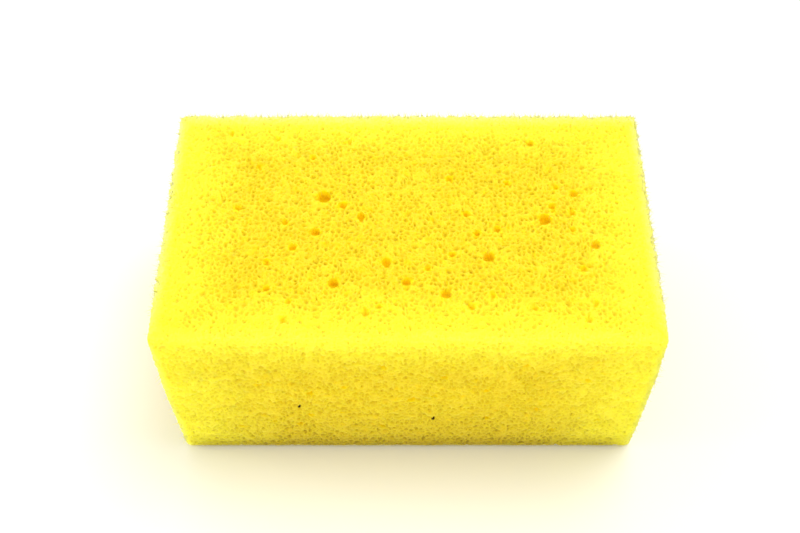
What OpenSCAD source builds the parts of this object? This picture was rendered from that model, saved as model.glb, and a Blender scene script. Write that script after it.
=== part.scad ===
// Cleaning sponge: a plain block of open-cell foam, cut square on all six sides.
// The block rests on its bottom face. X runs along the length, Y from the front face to the
// back face, Z upward. The origin is the middle of the bottom face. All sizes in millimetres.

/* [Block] */

// Length of the block, along X
length = 120; // [80:1:200]

// Width of the block, along Y
width = 70; // [45:1:120]

// Height of the block, along Z
height = 55; // [30:1:100]

// Rounding of the four upright edges
upright_edge_radius = 2.5; // [1:0.5:6]

// Rounding of the eight edges round the top and the bottom face
flat_edge_radius = 1.5; // [0.5:0.5:4]

/* [Open bubbles] */

// Width of the smallest bubble that is worth cutting
bubble_min = 1.4; // [0.8:0.1:2]

// Width of the largest bubble
bubble_max = 3.8; // [2:0.1:5]

// Distance between bubbles on the faces where they lie at random
bubble_spacing = 11; // [8:1:20]

// Share of the random places that hold a bubble
bubble_share = 0.75; // [0.3:0.05:1]

// How far the middle of a bubble lies under its face, as a share of its width
bubble_sink = 0.2; // [0.05:0.05:0.35]

// Radius round the middle of the bottom face that is left without bubbles
rest_patch_radius = 9; // [5:1:15]

// Start of the random series
seed = 41; // [1:1:99]

/* [Hidden] */

$fn = 48;

// Bubbles of the top face: place along the length, place along the width, size.
// Places are shares of the face counted from its middle, sizes are shares of bubble_max.
top_bubbles = [
    [-0.175, 0.107, 1.00], [0.280, 0.009, 0.90], [0.161, -0.153, 0.80], [-0.148, -0.260, 0.74],
    [-0.189, -0.047, 0.68], [0.074, -0.303, 0.72], [0.378, -0.102, 0.72], [-0.044, -0.173, 0.68],
    [-0.004, -0.255, 0.66], [0.345, 0.123, 0.62], [0.262, 0.356, 0.62], [-0.244, -0.405, 0.58],
    [-0.097, 0.022, 0.62], [-0.233, -0.111, 0.58], [0.297, 0.065, 0.54], [-0.083, -0.377, 0.58],
    [0.181, -0.034, 0.56], [0.124, -0.354, 0.56], [0.349, -0.405, 0.50], [-0.135, 0.071, 0.58],
    [0.119, 0.031, 0.52], [0.337, 0.038, 0.46], [0.140, -0.051, 0.50], [0.086, 0.191, 0.52],
    [0.088, -0.142, 0.46], [0.039, -0.200, 0.44], [0.349, -0.200, 0.46], [-0.252, -0.005, 0.48],
    [0.335, -0.036, 0.42], [0.166, -0.309, 0.42], [-0.353, 0.060, 0.44], [-0.382, 0.405, 0.46],
    [-0.203, 0.289, 0.42], [0.366, -0.340, 0.44], [-0.057, -0.352, 0.40], [0.309, 0.150, 0.40],
    [-0.279, -0.281, 0.48], [-0.283, -0.171, 0.44], [-0.127, 0.366, 0.42], [-0.316, 0.247, 0.40],
    [0.207, 0.169, 0.40], [-0.234, -0.333, 0.42], [0.247, -0.360, 0.42], [-0.281, 0.376, 0.42]
];

// Bubbles of the front face: place along the length, place along the height, size.
front_bubbles = [
    [-0.201, 0.060, 0.56], [0.309, -0.308, 0.46], [0.164, -0.181, 0.50], [-0.283, -0.212, 0.40],
    [-0.231, -0.244, 0.44], [-0.206, -0.149, 0.40], [-0.049, 0.300, 0.46], [-0.302, 0.136, 0.42],
    [-0.359, -0.265, 0.42], [0.006, 0.001, 0.48], [0.271, -0.098, 0.42], [0.053, 0.036, 0.42],
    [-0.054, -0.265, 0.42], [0.072, 0.210, 0.46], [0.159, 0.088, 0.40], [0.360, 0.180, 0.42],
    [-0.400, 0.290, 0.40], [0.230, 0.310, 0.42], [-0.130, 0.120, 0.40], [0.405, -0.200, 0.42]
];

// Least distance from the middle of a bubble to the border of its face.
border = max(upright_edge_radius, flat_edge_radius) + bubble_max / 2 + 0.8;

function clear_place(place, span) = min(max(place, -span / 2 + border), span / 2 - border);

// A rectangle with round corners, made of two bars and four discs.
module round_rectangle(long_side, short_side, corner_radius) {
    square([long_side - 2 * corner_radius, short_side], center = true);
    square([long_side, short_side - 2 * corner_radius], center = true);
    for (sx = [-1, 1], sy = [-1, 1])
        translate([sx * (long_side / 2 - corner_radius), sy * (short_side / 2 - corner_radius)])
            circle(r = corner_radius);
}

// The cut block: three round-cornered prisms, one along each axis, and what they share.
module block() {
    intersection() {
        linear_extrude(height = height)
            round_rectangle(length, width, upright_edge_radius);
        translate([0, width / 2, height / 2])
            rotate([90, 0, 0])
                linear_extrude(height = width)
                    round_rectangle(length, height, flat_edge_radius);
        translate([-length / 2, 0, height / 2])
            rotate([90, 0, 90])
                linear_extrude(height = length)
                    round_rectangle(width, height, flat_edge_radius);
    }
}

// One open bubble at [across, up] of a face whose outward direction is local +Z.
module bubble(across, up, size) {
    translate([across, up, -bubble_sink * size])
        sphere(d = size);
}

// The bubbles of a list, their places given as shares of the two sides of the face.
module placed_bubbles(list, span_x, span_y) {
    for (b = list)
        bubble(clear_place(b[0] * span_x, span_x), clear_place(b[1] * span_y, span_y),
               max(bubble_min, b[2] * bubble_max));
}

// Bubbles at random on a face: one try for every square of the grid, none inside keep_clear.
module random_bubbles(span_x, span_y, start, keep_clear = 0) {
    columns = max(1, floor((span_x - 2 * border) / bubble_spacing) + 1);
    rows = max(1, floor((span_y - 2 * border) / bubble_spacing) + 1);
    step_x = (span_x - 2 * border) / columns;
    step_y = (span_y - 2 * border) / rows;
    shake_x = max(0, (step_x - bubble_max - 0.8) / 2);
    shake_y = max(0, (step_y - bubble_max - 0.8) / 2);
    for (i = [0 : columns - 1], j = [0 : rows - 1]) {
        chance = rands(0, 1, 4, seed + start + 17 * i + 131 * j);
        across = -span_x / 2 + border + (i + 0.5) * step_x + (2 * chance[0] - 1) * shake_x;
        up = -span_y / 2 + border + (j + 0.5) * step_y + (2 * chance[1] - 1) * shake_y;
        size = bubble_min + (bubble_max - bubble_min) * pow(chance[2], 3);
        if (chance[3] < bubble_share && norm([across, up]) > keep_clear)
            bubble(across, up, size);
    }
}

// All open bubbles, face by face: top, bottom, front, back, right, left.
module bubbles() {
    translate([0, 0, height])
        placed_bubbles(top_bubbles, length, width);
    rotate([180, 0, 0])
        random_bubbles(length, width, 1000, rest_patch_radius);
    translate([0, -width / 2, height / 2])
        rotate([90, 0, 0])
            placed_bubbles(front_bubbles, length, height);
    translate([0, width / 2, height / 2])
        rotate([90, 0, 180])
            random_bubbles(length, height, 2000);
    translate([length / 2, 0, height / 2])
        rotate([90, 0, 90])
            random_bubbles(width, height, 3000);
    translate([-length / 2, 0, height / 2])
        rotate([90, 0, -90])
            random_bubbles(width, height, 4000);
}

// The sponge: one cut block with the open bubbles of its foam.
module foam_block() {
    color([0.98, 0.90, 0.18])
        difference() {
            block();
            bubbles();
        }
}

foam_block();
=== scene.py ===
"""A block sponge of open-cell foam on a pale floor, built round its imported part."""

import logging
import math
from dataclasses import dataclass
from enum import Enum

import bmesh
import bpy
import numpy as np
from mathutils import Matrix, Vector
from mathutils.bvhtree import BVHTree
from mathutils.kdtree import KDTree

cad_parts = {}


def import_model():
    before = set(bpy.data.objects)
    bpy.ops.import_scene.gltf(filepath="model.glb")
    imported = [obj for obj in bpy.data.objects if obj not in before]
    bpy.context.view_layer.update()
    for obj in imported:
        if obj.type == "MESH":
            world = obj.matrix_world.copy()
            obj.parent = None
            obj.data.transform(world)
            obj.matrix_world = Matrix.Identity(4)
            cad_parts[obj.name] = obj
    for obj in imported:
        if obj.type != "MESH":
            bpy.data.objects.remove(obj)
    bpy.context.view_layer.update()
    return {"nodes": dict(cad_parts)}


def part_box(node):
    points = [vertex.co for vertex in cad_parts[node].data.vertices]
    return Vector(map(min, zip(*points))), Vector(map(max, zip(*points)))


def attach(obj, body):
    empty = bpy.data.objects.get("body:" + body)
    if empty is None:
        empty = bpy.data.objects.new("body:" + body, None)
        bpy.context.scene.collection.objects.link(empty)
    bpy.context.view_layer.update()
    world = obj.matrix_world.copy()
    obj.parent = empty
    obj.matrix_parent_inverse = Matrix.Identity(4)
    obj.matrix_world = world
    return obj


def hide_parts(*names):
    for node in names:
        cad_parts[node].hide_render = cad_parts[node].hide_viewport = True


MM = 0.001
NODE = "foam_block"
ATLAS = "OFBake"

Colour = tuple[float, float, float]
log = logging.getLogger("sponge")


class Side(Enum):
    """The six sides of the block: axis, direction, and the two axes that span it."""

    TOP = (2, 1, 0, 1)
    BOTTOM = (2, -1, 0, 1)
    FRONT = (1, -1, 0, 2)
    BACK = (1, 1, 0, 2)
    LEFT = (0, -1, 1, 2)
    RIGHT = (0, 1, 1, 2)

    @property
    def axis(self) -> int:
        """The axis that the side looks along."""
        return self.value[0]

    @property
    def sign(self) -> int:
        """Whether the side looks up or down its axis."""
        return self.value[1]

    @property
    def span(self) -> tuple[int, int]:
        """The two axes that lie in the side."""
        return self.value[2], self.value[3]


@dataclass(frozen=True)
class Extent:
    """The block's box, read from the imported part."""

    low: Vector
    high: Vector

    @classmethod
    def of_node(cls, node: str) -> "Extent":
        """Read the box of a node.

        Args:
            node: name of the part's node.

        Returns:
            The box of that node in metres.
        """
        low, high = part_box(node)
        return cls(low.copy(), high.copy())

    @property
    def size(self) -> Vector:
        """Length, width and height."""
        return self.high - self.low

    @property
    def middle(self) -> Vector:
        """The middle of the box."""
        return (self.high + self.low) / 2

    def area(self) -> float:
        """Surface of the box in square metres."""
        x, y, z = self.size
        return 2 * (x * y + y * z + z * x)


@dataclass(frozen=True)
class FoamSizes:
    """Sizes of the foam's cells: lengths in metres, shares as fractions of 1."""

    triangles: int = 142_000
    shake: float = 0.44
    merged_share: float = 0.12
    cell_depth: float = 0.55 * MM
    depth_spread: float = 0.55
    closed_share: float = 0.18
    rim_rise: float = 0.12 * MM
    rim_drop: float = 0.22 * MM
    swell: float = 0.12 * MM
    bulge: float = 0.45 * MM
    fray: float = 0.75 * MM
    tallness: float = 1.35
    front_wear: float = 0.22
    upright_wear: float = 0.50
    end_share: float = 0.52
    top_share: float = 0.78
    strut_share: float = 3.6
    strut_band: float = 5.0 * MM
    strut_length: float = 2.0 * MM
    strut_width: float = 0.17 * MM
    strut_inset: float = 0.5 * MM
    struts_at_once: int = 150
    foot_height: float = 3 * MM
    bubble_smoothing: float = 0.92
    rim_band: float = 0.20 * MM
    refined_radius: float = 1.1 * MM
    refined_band: float = 0.5 * MM
    slant_depth: float = 3.0 * MM
    skin: float = 0.5 * MM
    seed: int = 7


@dataclass(frozen=True)
class Bubble:
    """One large open bubble of the cut solid: where it opens, how wide, and on which side."""

    middle: Vector
    radius: float
    side: Side

    def flat_distance(self, point: Vector) -> float:
        """Distance from the bubble's axis.

        Args:
            point: a point near the bubble's side.

        Returns:
            The distance measured along the side.
        """
        a, b = self.side.span
        return math.hypot(point[a] - self.middle[a], point[b] - self.middle[b])

    def level(self, point: Vector) -> float:
        """How far a point lies from the bubble's side, whichever way."""
        return abs(point[self.side.axis] - self.middle[self.side.axis])


class BubbleFinder:
    """Reads the open bubbles from the cut solid: each is a small patch of its own."""

    widest = 8 * MM

    def __init__(self, extent: Extent) -> None:
        """Keep the block's box, whose sides the bubbles open on."""
        self.extent = extent

    def find(self, cut: bmesh.types.BMesh) -> list[Bubble]:
        """List the bubbles.

        Args:
            cut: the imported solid.

        Returns:
            Every bubble, in the order of the solid's points.
        """
        seen: set[int] = set()
        found = []
        for start in cut.verts:
            if start.index in seen:
                continue
            patch, front = [], [start]
            seen.add(start.index)
            while front:
                v = front.pop()
                patch.append(v.co)
                for edge in v.link_edges:
                    other = edge.other_vert(v)
                    if other.index not in seen:
                        seen.add(other.index)
                        front.append(other)
            bubble = self._measure(patch)
            if bubble is not None:
                found.append(bubble)
        return found

    def _measure(self, patch: list[Vector]) -> Bubble | None:
        """Measure one patch of the solid.

        Args:
            patch: the patch's points.

        Returns:
            The bubble, or nothing where the patch is a side or an edge of the block.
        """
        low = Vector(min(p[a] for p in patch) for a in range(3))
        high = Vector(max(p[a] for p in patch) for a in range(3))
        if max(high - low) > self.widest:
            return None
        for side in Side:
            level = (self.extent.high if side.sign > 0 else self.extent.low)[side.axis]
            rim = [p for p in patch if abs(p[side.axis] - level) < 0.002 * MM]
            if len(rim) > 5:
                middle = sum(rim, Vector()) / len(rim)
                a, b = side.span
                radius = max(math.hypot(p[a] - middle[a], p[b] - middle[b]) for p in rim)
                return Bubble(middle, radius, side)
        return None


class CellNodes:
    """The node group that turns a net of triangles into a net of foam cells."""

    @staticmethod
    def build() -> bpy.types.NodeTree:
        """Make the group: mesh in, dual mesh out.

        Returns:
            The node group.
        """
        tree = bpy.data.node_groups.new("foam cells", "GeometryNodeTree")
        tree.interface.new_socket("Geometry", in_out="INPUT", socket_type="NodeSocketGeometry")
        tree.interface.new_socket("Geometry", in_out="OUTPUT", socket_type="NodeSocketGeometry")
        start = tree.nodes.new("NodeGroupInput")
        dual = tree.nodes.new("GeometryNodeDualMesh")
        end = tree.nodes.new("NodeGroupOutput")
        tree.links.new(start.outputs[0], dual.inputs[0])
        tree.links.new(dual.outputs[0], end.inputs[0])
        return tree


class FoamBlock:
    """The whole sponge: one block of foam with a cellular skin."""

    layers = ("pit", "tone", "bubble", "inset", "wear")

    def __init__(self, extent: Extent, sizes: FoamSizes, cut: bpy.types.Object) -> None:
        """Keep what the block is built from.

        Args:
            extent: the block's box.
            sizes: sizes of the foam's cells.
            cut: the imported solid, whose surface and open bubbles the foam follows.
        """
        self.extent = extent
        self.sizes = sizes
        self.rng = np.random.default_rng(sizes.seed)
        solid = bmesh.new()
        solid.from_mesh(cut.data)
        self.surface = BVHTree.FromBMesh(solid)
        self.bubbles = BubbleFinder(extent).find(solid)
        solid.free()
        self.places = KDTree(len(self.bubbles))
        for n, bubble in enumerate(self.bubbles):
            self.places.insert(bubble.middle, n)
        self.places.balance()

    def build(self) -> bpy.types.Object:
        """Build the foam block.

        Returns:
            The block's mesh object, at the origin and unturned.
        """
        net = self._net()
        cells = self._cells(net)
        self._open(cells)
        self._struts(cells)
        mesh = bpy.data.meshes.new("sponge")
        cells.to_mesh(mesh)
        cells.free()
        mesh.shade_smooth()
        block = bpy.data.objects.new("sponge", mesh)
        bpy.context.scene.collection.objects.link(block)
        self._lay_out(mesh)
        return block

    def dress(self, block: bpy.types.Object, finish: "FoamFinish") -> None:
        """Give the block its finish and its place in the part.

        Args:
            block: the block's object.
            finish: the foam's looks.
        """
        block.data.materials.append(finish.material(self.extent))
        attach(block, "root")
        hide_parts(NODE)

    def _net(self) -> bmesh.types.BMesh:
        """Make the block's box as an uneven net of triangles.

        Returns:
            A closed net whose every point will be the middle of one cell.
        """
        size = self.extent.size
        pitch = math.sqrt(self.extent.area() * 6 * (1 - self.sizes.merged_share) / self.sizes.triangles)
        net = bmesh.new()
        bmesh.ops.create_cube(net, size=1.0)
        bmesh.ops.scale(net, vec=size, verts=net.verts)
        bmesh.ops.translate(net, vec=self.extent.middle, verts=net.verts)
        for axis in range(3):
            along = [
                e for e in net.edges
                if abs((e.verts[0].co - e.verts[1].co)[axis]) > 0.9 * size[axis]
            ]
            step = pitch * (self.sizes.tallness if axis == 2 else 1)
            cuts = max(1, round(size[axis] / step)) - 1
            bmesh.ops.subdivide_edges(net, edges=along, cuts=cuts, use_grid_fill=True)
        half, middle = size / 2, self.extent.middle
        for v in net.verts:
            for axis in range(3):
                if abs(abs(v.co[axis] - middle[axis]) - half[axis]) > 0.2 * pitch:
                    v.co[axis] += self.rng.uniform(-1, 1) * self.sizes.shake * pitch
        self._merge(net, half, middle)
        bmesh.ops.triangulate(net, faces=net.faces, quad_method="BEAUTY", ngon_method="BEAUTY")
        bmesh.ops.beautify_fill(net, faces=net.faces, edges=self._flat_edges(net), method="ANGLE")
        return net

    def _merge(self, net: bmesh.types.BMesh, half: Vector, middle: Vector) -> None:
        """Take out some points, so that the cells round them grow.

        Args:
            net: the net, changed in place.
            half: half of the block's size.
            middle: the middle of the block.
        """
        gone, kept = [], set()
        for v in net.verts:
            outer = sum(abs(abs(v.co[a] - middle[a]) - half[a]) < 1e-7 for a in range(3))
            if self.rng.random() < self.sizes.merged_share and outer == 1 and v not in kept:
                gone.append(v)
                for face in v.link_faces:
                    kept.update(face.verts)
        bmesh.ops.dissolve_verts(net, verts=gone)

    @staticmethod
    def _flat_edges(net: bmesh.types.BMesh) -> list[bmesh.types.BMEdge]:
        """The edges whose two faces lie in one plane, which may be turned."""
        return [
            e for e in net.edges
            if len(e.link_faces) == 2 and e.calc_face_angle(0.0) < 0.01
        ]

    def _cells(self, net: bmesh.types.BMesh) -> bmesh.types.BMesh:
        """Turn the net into cells, one polygon round each of its points.

        Args:
            net: the net of triangles; it is used up.

        Returns:
            The net of cells.
        """
        mesh = bpy.data.meshes.new("net")
        net.to_mesh(mesh)
        net.free()
        holder = bpy.data.objects.new("net", mesh)
        bpy.context.scene.collection.objects.link(holder)
        holder.modifiers.new("cells", "NODES").node_group = CellNodes.build()
        graph = bpy.context.evaluated_depsgraph_get()
        cells = bmesh.new()
        cells.from_mesh(holder.evaluated_get(graph).to_mesh())
        bpy.data.objects.remove(holder)
        bmesh.ops.recalc_face_normals(cells, faces=cells.faces)
        return cells

    def _open(self, cells: bmesh.types.BMesh) -> None:
        """Seat the cells on the cut surface and open each one into a pit.

        Args:
            cells: the net of cells, changed in place.
        """
        sizes = self.sizes
        pit, tone, inside, inset, wear = (
            cells.verts.layers.float.new(name) for name in self.layers
        )
        centres = set(bmesh.ops.poke(cells, faces=cells.faces)["verts"])
        for v in cells.verts:
            if v not in centres:
                continue
            if self.rng.random() < sizes.closed_share:
                v[pit] = self.rng.uniform(0.1, 0.35)
            else:
                v[pit] = 1 + sizes.depth_spread * self.rng.uniform(-1, 1)
        self._refine(cells)
        wave = self.rng.uniform(0, 2 * math.pi, (6, 3))
        for v in cells.verts:
            within = self._round_off(v)
            inward = self._inward(v.co)
            on_top = self.extent.high.z - v.co.z < sizes.skin
            v[inset] = self._inset(v.co, sizes.top_share if on_top else sizes.end_share)
            v[wear] = self._wear(v.co)
            seat = self._seat(v.co, inward)
            height = v.co.z - self.extent.low.z
            soft = (1.0 - sizes.bubble_smoothing * within) * min(1.0, 0.2 + height / sizes.foot_height)
            frayed = v[wear] ** 2
            drop = (sizes.rim_drop + sizes.fray * frayed) * self.rng.uniform(0, 1)
            drop = (drop - sizes.rim_rise * (1 + 3 * frayed)) * soft
            drop += sizes.swell * self._swell(seat, wave)
            drop += sizes.cell_depth * v[pit] * soft
            v[inside] = within
            v[tone] = self.rng.uniform(0, 1)
            v.co = seat + inward * drop + self._bulge(seat)
            v.co.z = max(v.co.z, self.extent.low.z)

    def _struts(self, cells: bmesh.types.BMesh) -> None:
        """Stand cut strut ends along the upper and upright edges, thickest at the edge.

        Args:
            cells: the net of opened cells, which the struts are added to.
        """
        sizes = self.sizes
        wear, pit = cells.verts.layers.float["wear"], cells.verts.layers.float["pit"]
        roots = []
        for v in cells.verts:
            if v[wear] > 0 and v[pit] == 0 and v.co.z > self.extent.low.z + sizes.strut_length:
                count = sizes.strut_share * v[wear] ** 3 + self.rng.random()
                roots.extend((v.co.copy(), v[wear]) for _ in range(int(count)))
        for start in range(0, len(roots), sizes.struts_at_once):
            tuft = bmesh.new()
            layers = {name: tuft.verts.layers.float.new(name) for name in self.layers}
            for root, worn in roots[start:start + sizes.struts_at_once]:
                for v in self._strut(tuft, root):
                    v[layers["tone"]] = 0.5
                    v[layers["inset"]] = sizes.strut_inset
                    v[layers["wear"]] = worn
            mesh = bpy.data.meshes.new("struts")
            tuft.to_mesh(mesh)
            tuft.free()
            cells.from_mesh(mesh)
            bpy.data.meshes.remove(mesh)
        log.info("strut ends: %d", len(roots))

    def _strut(self, tuft: bmesh.types.BMesh, root: Vector) -> list[bmesh.types.BMVert]:
        """Stand one strut end on the foam, rooted a little way in.

        Args:
            tuft: where the strut is added.
            root: the point it grows from.

        Returns:
            Its vertices.
        """
        sizes = self.sizes
        lean = (Vector(self.rng.uniform(-0.9, 0.9, 3)) - self._inward(root)).normalized()
        length = sizes.strut_length * self.rng.uniform(0.25, 1.0) ** 1.5 + sizes.strut_width
        middle = root + lean * (length / 2 - sizes.strut_width)
        turn = lean.to_track_quat("Z", "Y").to_matrix().to_4x4()
        made = bmesh.ops.create_cone(
            tuft, cap_ends=True, segments=3, radius1=sizes.strut_width / 2, radius2=0,
            depth=length, matrix=Matrix.Translation(middle) @ turn,
        )
        return made["verts"]

    def _refine(self, cells: bmesh.types.BMesh) -> None:
        """Halve the edges round the large bubbles, so that their rims come out round.

        Args:
            cells: the net of poked cells, changed in place.
        """
        for narrowest in (0.0, self.sizes.refined_radius):
            near = set()
            for v in cells.verts:
                bubble = self._nearest(v.co)
                if bubble is not None and bubble.radius > narrowest:
                    if bubble.flat_distance(v.co) < bubble.radius + self.sizes.refined_band:
                        near.add(v)
            edges = [e for e in cells.edges if e.verts[0] in near and e.verts[1] in near]
            bmesh.ops.subdivide_edges(cells, edges=edges, cuts=1, use_grid_fill=False)
            wide = [f for f in cells.faces if len(f.verts) > 3]
            bmesh.ops.triangulate(cells, faces=wide)

    def _nearest(self, point: Vector) -> Bubble | None:
        """The bubble whose side holds a point and whose middle is nearest to it.

        Args:
            point: a point on the box's skin.

        Returns:
            The bubble, or nothing where none is near.
        """
        for _, n, distance in self.places.find_n(point, 2):
            bubble = self.bubbles[n]
            if distance < BubbleFinder.widest / 2 and bubble.level(point) < self.sizes.skin:
                return bubble
        return None

    def _round_off(self, v: bmesh.types.BMVert) -> float:
        """Draw a point that lies near a bubble's rim onto the rim.

        Args:
            v: a point of the net, moved along its side.

        Returns:
            1 inside a bubble, 0 outside, and a share on the rim.
        """
        bubble = self._nearest(v.co)
        if bubble is None:
            return 0.0
        away = bubble.flat_distance(v.co)
        if away < 0.2 * bubble.radius or away > bubble.radius + 0.25 * MM:
            return float(away <= bubble.radius)
        if abs(away - bubble.radius) < self.sizes.rim_band:
            for axis in bubble.side.span:
                offset = v.co[axis] - bubble.middle[axis]
                v.co[axis] = bubble.middle[axis] + offset * bubble.radius / away
            return 0.45
        return float(away < bubble.radius)

    def _inset(self, point: Vector, share: float) -> float:
        """How far along its side a point lies from the nearest upper or upright edge.

        Args:
            point: a point on the box's skin.
            share: what distances along the length are multiplied by.

        Returns:
            The distance in metres; the lower edges don't count.
        """
        low, high = self.extent.low, self.extent.high
        rooms = sorted([
            share * (point.x - low.x), share * (high.x - point.x),
            point.y - low.y, high.y - point.y, high.z - point.z,
        ])
        return rooms[1]

    def _wear(self, point: Vector) -> float:
        """How frayed the foam is: most on an edge, less on the one above the front. It also sets how
        much painted backlight the frayed edges get.

        Args:
            point: a point on the box's skin.

        Returns:
            A share from 0 to 1.
        """
        sizes = self.sizes
        low, high = self.extent.low, self.extent.high
        share = max(0.0, 1 - self._inset(point, 1.5) / sizes.strut_band)
        near = max(0.0, 1 - (point.y - low.y) / (3 * sizes.strut_band))
        below = min(1.0, (high.z - point.z) / (2 * sizes.strut_band))
        level = 1 + (sizes.front_wear - 1) * near
        return share * (level + (sizes.upright_wear - level) * below)

    def _bulge(self, point: Vector) -> Vector:
        """How far the two ends stand out at mid height, as soft foam does under its own weight.

        Args:
            point: a point on the solid.

        Returns:
            The shift, along the length only.
        """
        height = (point.z - self.extent.low.z) / self.extent.size.z
        offset = 2 * (point.x - self.extent.middle.x) / self.extent.size.x
        return Vector((self.sizes.bulge * offset * math.sin(math.pi * min(1, max(0, height))), 0, 0))

    def _inward(self, point: Vector) -> Vector:
        """The direction from the box's skin into the foam.

        Args:
            point: a point on the box's skin.

        Returns:
            A unit vector, slanted near the edges.
        """
        core = self.sizes.slant_depth
        half = self.extent.size / 2
        offset = point - self.extent.middle
        inner = Vector(max(-h + core, min(h - core, c)) for c, h in zip(offset, half))
        return (inner - offset).normalized()

    def _seat(self, point: Vector, inward: Vector) -> Vector:
        """Find where a point of the net lies on the cut solid.

        Args:
            point: a point on the box's skin.
            inward: the direction into the foam.

        Returns:
            The point on the solid.
        """
        hit, _, _, _ = self.surface.ray_cast(point - inward * 2 * MM, inward, 8 * MM)
        return point.copy() if hit is None else hit

    @staticmethod
    def _swell(point: Vector, wave: np.ndarray) -> float:
        """A slow rise and fall of the cut faces.

        Args:
            point: where it is wanted.
            wave: start of each of the waves.

        Returns:
            A number from 0 to 1.
        """
        total = 0.0
        for n, phase in enumerate(wave):
            rate = 140 + 70 * n
            total += math.sin(rate * point.x + phase[0]) * math.sin(
                rate * 1.1 * point.y + phase[1]
            ) * math.cos(rate * 0.9 * point.z + phase[2])
        return min(1.0, max(0.0, 0.5 + total / 5))

    def _lay_out(self, mesh: bpy.types.Mesh) -> None:
        """Lay the six sides flat in two columns of one square map.

        Args:
            mesh: the block's mesh.
        """
        gap = 2 * MM
        size = self.extent.size
        columns = (
            (Side.TOP, Side.FRONT, Side.LEFT),
            (Side.BOTTOM, Side.BACK, Side.RIGHT),
        )
        column_width = max(size[s.span[0]] for row in columns for s in row) + gap
        full = np.array([
            2 * column_width + gap,
            max(sum(size[s.span[1]] + gap for s in row) for row in columns) + gap,
        ])
        corner: dict[Side, np.ndarray] = {}
        for n, row in enumerate(columns):
            level = gap
            for side in row:
                corner[side] = np.array([gap + n * column_width, level])
                level += size[side.span[1]] + gap
        sides = list(Side)
        half = np.array(size) / 2
        middle = np.array(self.extent.middle)
        low = np.array(self.extent.low)
        co = np.empty(len(mesh.vertices) * 3)
        mesh.vertices.foreach_get("co", co)
        co = co.reshape(-1, 3)
        loops = np.empty(len(mesh.loops), dtype=np.int64)
        mesh.loops.foreach_get("vertex_index", loops)
        corners = loops.reshape(-1, 3)
        centre = co[corners].mean(axis=1) - middle
        room = np.stack([half[s.axis] - s.sign * centre[:, s.axis] for s in sides], axis=1)
        chosen = room.argmin(axis=1)
        uv = np.empty((len(corners), 3, 2))
        for n, side in enumerate(sides):
            mine = chosen == n
            flat = co[corners[mine]][:, :, list(side.span)] - low[list(side.span)]
            uv[mine] = (corner[side] + flat) / full
        layer = mesh.uv_layers.new(name=ATLAS)
        layer.data.foreach_set("uv", uv.reshape(-1))


class Graph:
    """A short hand for building a material's nodes."""

    def __init__(self, name: str) -> None:
        """Start a material.

        Args:
            name: the material's name.
        """
        self.material = bpy.data.materials.new(name)
        self.material.use_nodes = True
        self.tree = self.material.node_tree
        self.tree.nodes.clear()

    def add(self, kind: str, **settings: object) -> bpy.types.Node:
        """Add a node.

        Args:
            kind: the node's type.
            settings: its properties.

        Returns:
            The new node.
        """
        node = self.tree.nodes.new(kind)
        for key, value in settings.items():
            setattr(node, key, value)
        return node

    def link(self, source: bpy.types.NodeSocket, target: bpy.types.NodeSocket) -> None:
        """Join two sockets."""
        self.tree.links.new(source, target)

    def math(self, operation: str, *values: object) -> bpy.types.NodeSocket:
        """Add a calculation.

        Args:
            operation: its name.
            values: sockets or numbers.

        Returns:
            The result's socket.
        """
        node = self.add("ShaderNodeMath", operation=operation)
        for slot, value in zip(node.inputs, values):
            if isinstance(value, bpy.types.NodeSocket):
                self.link(value, slot)
            else:
                slot.default_value = value
        return node.outputs[0]

    def blend(self, share: object, first: object, second: object) -> bpy.types.NodeSocket:
        """Mix two colours.

        Args:
            share: how much of the second.
            first: a socket or a colour.
            second: a socket or a colour.

        Returns:
            The mixed colour's socket.
        """
        node = self.add("ShaderNodeMix", data_type="RGBA", blend_type="MIX")
        for slot, value in ((node.inputs[0], share), (node.inputs[6], first), (node.inputs[7], second)):
            if isinstance(value, bpy.types.NodeSocket):
                self.link(value, slot)
            elif isinstance(value, tuple):
                slot.default_value = (*value, 1.0)
            else:
                slot.default_value = value
        return node.outputs[2]

    def ramp(self, source: bpy.types.NodeSocket, low: float, high: float) -> bpy.types.NodeSocket:
        """Stretch a value so that low becomes 0 and high becomes 1.

        Args:
            source: the value.
            low: what becomes 0.
            high: what becomes 1.

        Returns:
            The stretched value's socket.
        """
        node = self.add("ShaderNodeMapRange", clamp=True)
        node.inputs["From Min"].default_value = low
        node.inputs["From Max"].default_value = high
        self.link(source, node.inputs["Value"])
        return node.outputs["Result"]


@dataclass(frozen=True)
class Speck:
    """A dark speck of dirt on the front face, placed by shares of length and height."""

    across: float
    up: float
    radius: float


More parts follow.
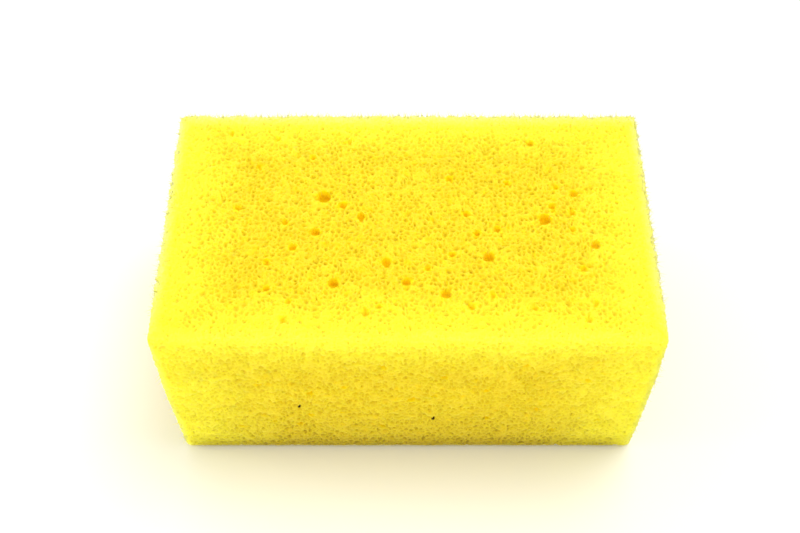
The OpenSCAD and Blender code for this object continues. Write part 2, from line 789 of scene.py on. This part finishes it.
@dataclass(frozen=True)
class FoamFinish:
    """Looks of the foam, with painted shade toward its foot, in its cells and bubbles, and painted
    light near its edges.
    """

    # rim, body and pit run from the cells' rims into their pits; the darker pit colour is painted shade
    rim: Colour = (0.840, 0.670, 0.032)
    body: Colour = (0.770, 0.570, 0.015)
    pit: Colour = (0.600, 0.385, 0.003)
    # painted shade: deeper orange that stands in for the light and shade inside the open bubbles
    hollow: Colour = (0.880, 0.620, 0.004)
    # painted shade: dark olive that the foam is blended toward near its foot and just above the floor
    painted_foot_shade: Colour = (0.240, 0.175, 0.018)
    # painted light: pale lemon that the foam is lightened toward near its upper and upright edges,
    # where light shines through it
    edge: Colour = (0.980, 0.935, 0.055)
    # painted light: near-white yellow on the frayed edges, standing in for light shining through the
    # thin struts
    painted_backlit_fringe: Colour = (0.980, 0.965, 0.290)
    dirt: Colour = (0.035, 0.020, 0.003)
    roughness: float = 0.9
    sheen: float = 0.12
    glow: float = 0.85
    reach: Colour = (1.0, 0.88, 0.10)
    reach_scale: float = 4.0 * MM
    grain_pitch: float = 0.70 * MM
    grain_tallness: float = 0.7
    cloud_pitch: float = 9 * MM
    blotch_pitch: float = 2.6 * MM
    spot_pitch: float = 2.8 * MM
    # reach and unevenness of the painted glow near the edges
    painted_glow_width: float = 16 * MM
    painted_glow_shift: float = 7 * MM
    painted_fringe_share: float = 0.85
    # height over which painted shade darkens the foam toward its foot
    painted_shade_height: float = 30 * MM
    # height and strength of the painted contact shadow just above the floor
    contact_shadow_height: float = 9 * MM
    contact_shadow_share: float = 0.88
    bump: float = 0.25 * MM
    bump_strength: float = 0.5
    sheen_roughness: float = 0.5
    sheen_tint: Colour = (1.0, 0.98, 0.75)
    specks: tuple[Speck, ...] = (
        Speck(-0.228, 0.432, 0.33 * MM),
        Speck(0.053, 0.309, 0.42 * MM),
    )

    def material(self, extent: Extent) -> bpy.types.Material:
        """Build the foam's material.

        Args:
            extent: the block's box, for the specks' places and the heights of the painted shade toward
                the foot.

        Returns:
            The material.
        """
        g = Graph("yellow foam")
        place = g.add("ShaderNodeTexCoord").outputs["Object"]
        pit = g.add("ShaderNodeAttribute", attribute_name="pit").outputs["Fac"]
        bubble = g.add("ShaderNodeAttribute", attribute_name="bubble").outputs["Fac"]
        tone = g.add("ShaderNodeAttribute", attribute_name="tone").outputs["Fac"]
        inset = g.add("ShaderNodeAttribute", attribute_name="inset").outputs["Fac"]
        wear = g.add("ShaderNodeAttribute", attribute_name="wear").outputs["Fac"]
        tall = g.add("ShaderNodeMapping")
        tall.inputs["Scale"].default_value = (1.0, 1.0, self.grain_tallness)
        g.link(place, tall.inputs["Vector"])
        fine = g.add("ShaderNodeTexVoronoi", feature="F1")
        fine.inputs["Scale"].default_value = 1 / self.grain_pitch
        g.link(tall.outputs["Vector"], fine.inputs["Vector"])
        cloud = g.add("ShaderNodeTexNoise")
        cloud.inputs["Scale"].default_value = 1 / self.cloud_pitch
        cloud.inputs["Detail"].default_value = 2.0
        g.link(place, cloud.inputs["Vector"])
        # painted shade: the cells darken toward their pits, from the mesh's pit depth and a finer
        # pattern of dots
        fine_pit_shade = g.ramp(fine.outputs["Distance"], 0.42, 0.08)
        shade = g.math("MULTIPLY_ADD", pit, 0.50, g.math("MULTIPLY", fine_pit_shade, 0.62))
        shade = g.math("MULTIPLY_ADD", tone, 0.12, shade)
        colour = g.blend(g.ramp(shade, 0.05, 0.42), self.rim, self.body)
        colour = g.blend(g.ramp(shade, 0.45, 1.15), colour, self.pit)
        blotch = g.add("ShaderNodeTexNoise")
        blotch.inputs["Scale"].default_value = 1 / self.blotch_pitch
        blotch.inputs["Detail"].default_value = 1.0
        g.link(place, blotch.inputs["Vector"])
        soft = g.ramp(cloud.outputs["Fac"], 0.35, 0.70)
        spots = g.ramp(blotch.outputs["Fac"], 0.45, 0.70)
        soft = g.math("MULTIPLY_ADD", soft, 0.12, g.math("MULTIPLY", spots, 0.19))
        colour = g.blend(soft, colour, self.pit)
        colour = g.blend(self._deep(g, place), colour, self.hollow)
        # painted shade: the open bubbles are painted a flat deeper orange in place of the light and
        # shade inside their hollows
        colour = g.blend(g.ramp(bubble, 0.10, 0.50), colour, self.hollow)
        # painted shade: darker toward the foot, most in the cells
        colour = g.blend(self._painted_low_shade(g, place, shade, extent), colour, self.painted_foot_shade)
        # painted glow: lighter toward the upper and upright edges, less in the cells
        shift = g.math("SUBTRACT", cloud.outputs["Fac"], 0.5)
        uneven = g.math("MULTIPLY_ADD", shift, self.painted_glow_shift, inset)
        glow = g.math("POWER", g.ramp(uneven, self.painted_glow_width, 0.0), 1.3)
        glow = g.math("MULTIPLY", glow, g.ramp(shade, 1.9, 0.0))
        colour = g.blend(glow, colour, self.edge)
        # painted contact shadow along the foot, in the foot's painted shade colour
        colour = g.blend(self._painted_contact_shadow(g, place, inset, extent), colour, self.painted_foot_shade)
        # painted backlight on the frayed edges: the fraying is real, the pale colour stands in for
        # light through the struts
        frayed = g.math("MULTIPLY", g.math("POWER", wear, 1.6), self.painted_fringe_share)
        colour = g.blend(frayed, colour, self.painted_backlit_fringe)
        dirt = self._dirt(g, place, extent)
        colour = g.blend(dirt, colour, self.dirt)
        shader = g.add("ShaderNodeBsdfPrincipled", subsurface_method="RANDOM_WALK")
        g.link(colour, shader.inputs["Base Color"])
        shader.inputs["Roughness"].default_value = self.roughness
        shader.inputs["Specular IOR Level"].default_value = 0.0
        shader.inputs["Sheen Weight"].default_value = self.sheen
        shader.inputs["Sheen Roughness"].default_value = self.sheen_roughness
        shader.inputs["Sheen Tint"].default_value = (*self.sheen_tint, 1.0)
        g.link(
            g.math("MULTIPLY", g.math("SUBTRACT", 1.0, dirt), self.glow),
            shader.inputs["Subsurface Weight"],
        )
        shader.inputs["Subsurface Radius"].default_value = self.reach
        shader.inputs["Subsurface Scale"].default_value = self.reach_scale
        bump = g.add("ShaderNodeBump")
        bump.inputs["Strength"].default_value = self.bump_strength
        bump.inputs["Distance"].default_value = self.bump
        g.link(fine.outputs["Distance"], bump.inputs["Height"])
        g.link(bump.outputs["Normal"], shader.inputs["Normal"])
        out = g.add("ShaderNodeOutputMaterial")
        g.link(shader.outputs["BSDF"], out.inputs["Surface"])
        return g.material

    def _deep(self, g: Graph, place: bpy.types.NodeSocket) -> bpy.types.NodeSocket:
        """Where closed bubbles lie just under the skin and show as faint round spots.

        Args:
            g: the material being built.
            place: the point being shaded.

        Returns:
            A share from 0 to 1.
        """
        spots = g.add("ShaderNodeTexVoronoi", feature="F1")
        spots.inputs["Scale"].default_value = 1 / self.spot_pitch
        g.link(place, spots.inputs["Vector"])
        chance = g.add("ShaderNodeSeparateColor")
        g.link(spots.outputs["Color"], chance.inputs[0])
        share = g.math("MULTIPLY", g.ramp(chance.outputs[0], 0.45, 0.85), 0.65)
        return g.math("MULTIPLY", g.ramp(spots.outputs["Distance"], 0.42, 0.12), share)

    def _painted_low_shade(
        self, g: Graph, place: bpy.types.NodeSocket, shade: bpy.types.NodeSocket, extent: Extent
    ) -> bpy.types.NodeSocket:
        """Painted shade: how dark the foam is painted toward its foot, most in its cells.

        Args:
            g: the material being built.
            place: the point being shaded.
            shade: how deep in a cell the point is.
            extent: the block's box.

        Returns:
            A share from 0 to 1.
        """
        split = g.add("ShaderNodeSeparateXYZ")
        g.link(place, split.inputs[0])
        low = g.ramp(split.outputs["Z"], extent.low.z + self.painted_shade_height, extent.low.z)
        depth = g.math("MULTIPLY_ADD", g.ramp(shade, 0.2, 1.0), 0.55, 0.45)
        return g.math("MULTIPLY", g.math("POWER", low, 1.4), depth)

    def _painted_contact_shadow(
        self, g: Graph, place: bpy.types.NodeSocket, inset: bpy.types.NodeSocket, extent: Extent
    ) -> bpy.types.NodeSocket:
        """Painted contact shadow: how dark the foam is painted just above the floor, except close to an
        upright edge.

        Args:
            g: the material being built.
            place: the point being shaded.
            inset: how far the point is from the nearest edge.
            extent: the block's box.

        Returns:
            A share from 0 to 1.
        """
        split = g.add("ShaderNodeSeparateXYZ")
        g.link(place, split.inputs[0])
        low = g.ramp(split.outputs["Z"], extent.low.z + self.contact_shadow_height, extent.low.z)
        share = g.math("MULTIPLY", g.math("POWER", low, 1.8), self.contact_shadow_share)
        return g.math("MULTIPLY", share, g.ramp(inset, 0.5 * MM, 3 * MM))

    def _dirt(self, g: Graph, place: bpy.types.NodeSocket, extent: Extent) -> bpy.types.NodeSocket:
        """Where the specks lie.

        Args:
            g: the material being built.
            place: the point being shaded.
            extent: the block's box.

        Returns:
            A share from 0 to 1.
        """
        split = g.add("ShaderNodeSeparateXYZ")
        g.link(place, split.inputs[0])
        x, y, z = split.outputs
        total = None
        for speck in self.specks:
            px = extent.middle.x + speck.across * extent.size.x
            pz = extent.low.z + speck.up * extent.size.z
            dx = g.math("SUBTRACT", x, px)
            dz = g.math("SUBTRACT", z, pz)
            dz = g.math("MULTIPLY", dz, 0.62)
            away = g.math("SQRT", g.math("ADD", g.math("MULTIPLY", dx, dx), g.math("MULTIPLY", dz, dz)))
            spot = g.ramp(away, speck.radius * 1.35, speck.radius * 0.75)
            total = spot if total is None else g.math("MAXIMUM", total, spot)
        front = g.math("LESS_THAN", y, extent.low.y + 3 * MM)
        return g.math("MULTIPLY", total, front)


@dataclass(frozen=True)
class FloorFinish:
    """Looks of the floor."""

    colour: Colour = (0.85, 0.85, 0.85)
    roughness: float = 0.9

    def material(self) -> bpy.types.Material:
        """Build the floor's material.

        Returns:
            The material.
        """
        g = Graph("pale floor")
        shader = g.add("ShaderNodeBsdfPrincipled")
        shader.inputs["Base Color"].default_value = (*self.colour, 1.0)
        shader.inputs["Roughness"].default_value = self.roughness
        shader.inputs["Specular IOR Level"].default_value = 0.2
        out = g.add("ShaderNodeOutputMaterial")
        g.link(shader.outputs["BSDF"], out.inputs["Surface"])
        return g.material


@dataclass(frozen=True)
class Lamp:
    """One soft lamp, placed from a point of the block."""

    name: str
    azimuth: float
    elevation: float
    distance: float
    wide: float
    high: float
    watts: float
    spread: float = 180.0
    aim: tuple[float, float, float] = (0.5, 0.5, 0.5)
    colour: Colour = (1.0, 1.0, 1.0)

    def build(self, extent: Extent) -> bpy.types.Object:
        """Hang the lamp and point it at the block.

        Args:
            extent: the block's box; aim is given in shares of it.

        Returns:
            The lamp.
        """
        data = bpy.data.lights.new(self.name, "AREA")
        data.shape = "ELLIPSE"
        data.size = self.wide
        data.size_y = self.high
        data.energy = self.watts
        data.color = self.colour
        data.spread = math.radians(self.spread)
        lamp = bpy.data.objects.new(self.name, data)
        lamp.visible_camera = False
        bpy.context.scene.collection.objects.link(lamp)
        az, el = math.radians(self.azimuth), math.radians(self.elevation)
        away = Vector((math.cos(el) * math.sin(az), math.cos(el) * math.cos(az), math.sin(el)))
        aim = Vector(low + share * side for low, share, side in zip(extent.low, self.aim, extent.size))
        lamp.location = aim + away * self.distance
        lamp.rotation_euler = away.to_track_quat("Z", "Y").to_euler()
        return lamp


@dataclass(frozen=True)
class Studio:
    """Floor, sky, lamps and camera."""

    floor_side: float = 16.0
    sky_front: float = 0.50
    sky_back: float = 1.75
    elevation: float = 55.91
    lens: float = 49.38
    distance_share: float = 2.382
    aim_height_share: float = 0.637
    shift: float = -0.0102
    lamps: tuple[Lamp, ...] = (
        Lamp("key", azimuth=65, elevation=72, distance=1.2, wide=0.7, high=0.7, watts=6.9),
        Lamp(
            "fill", azimuth=180, elevation=35, distance=0.45, wide=0.45, high=0.15, watts=0.32,
            spread=110, colour=(1.0, 0.87, 0.32),
        ),
        Lamp("left", azimuth=-90, elevation=15, distance=0.8, wide=0.5, high=0.4, watts=2.5),
    )

    def build(self, extent: Extent) -> None:
        """Set up everything round the block.

        Args:
            extent: the block's box.
        """
        self._floor()
        self._sky()
        for lamp in self.lamps:
            lamp.build(extent)
        self._camera(extent)
        bpy.context.scene.view_settings.view_transform = "Standard"

    def _floor(self) -> None:
        """Lay the floor."""
        net = bmesh.new()
        bmesh.ops.create_grid(net, x_segments=1, y_segments=1, size=self.floor_side / 2)
        mesh = bpy.data.meshes.new("floor")
        net.to_mesh(mesh)
        net.free()
        mesh.materials.append(FloorFinish().material())
        floor = bpy.data.objects.new("floor", mesh)
        bpy.context.scene.collection.objects.link(floor)

    def _sky(self) -> None:
        """Light everything from all round, less from the front."""
        world = bpy.data.worlds.new("studio")
        world.use_nodes = True
        tree = world.node_tree
        background = tree.nodes["Background"]
        place = tree.nodes.new("ShaderNodeTexCoord")
        split = tree.nodes.new("ShaderNodeSeparateXYZ")
        level = tree.nodes.new("ShaderNodeMapRange")
        level.inputs["From Min"].default_value = 0.0
        level.inputs["From Max"].default_value = 1.0
        level.inputs["To Min"].default_value = self.sky_front
        level.inputs["To Max"].default_value = self.sky_back
        tree.links.new(place.outputs["Generated"], split.inputs[0])
        tree.links.new(split.outputs["Y"], level.inputs["Value"])
        tree.links.new(level.outputs["Result"], background.inputs["Strength"])
        background.inputs["Color"].default_value = (1.0, 1.0, 1.0, 1.0)
        bpy.context.scene.world = world

    def _camera(self, extent: Extent) -> None:
        """Place the camera from the block's box.

        Args:
            extent: the block's box.
        """
        data = bpy.data.cameras.new("camera")
        data.lens = self.lens
        data.sensor_width = 36.0
        data.sensor_fit = "HORIZONTAL"
        data.shift_x = self.shift
        data.clip_start = 0.01
        camera = bpy.data.objects.new("camera", data)
        bpy.context.scene.collection.objects.link(camera)
        tilt = math.radians(self.elevation)
        aim = extent.middle.copy()
        aim.z = extent.low.z + self.aim_height_share * extent.size.z
        back = Vector((0, -math.cos(tilt), math.sin(tilt)))
        camera.location = aim + back * self.distance_share * extent.size.x
        camera.rotation_euler = (math.pi / 2 - tilt, 0, 0)
        bpy.context.scene.camera = camera


def main() -> None:
    """Build the sponge, its finish and its surroundings."""
    logging.basicConfig(level=logging.INFO, format="%(name)s: %(message)s")
    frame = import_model()
    extent = Extent.of_node(NODE)
    foam = FoamBlock(extent, FoamSizes(), frame["nodes"][NODE])
    block = foam.build()
    foam.dress(block, FoamFinish())
    log.info("foam block: %d triangles", len(block.data.polygons))
    Studio().build(extent)


if __name__ == "__main__":
    main()
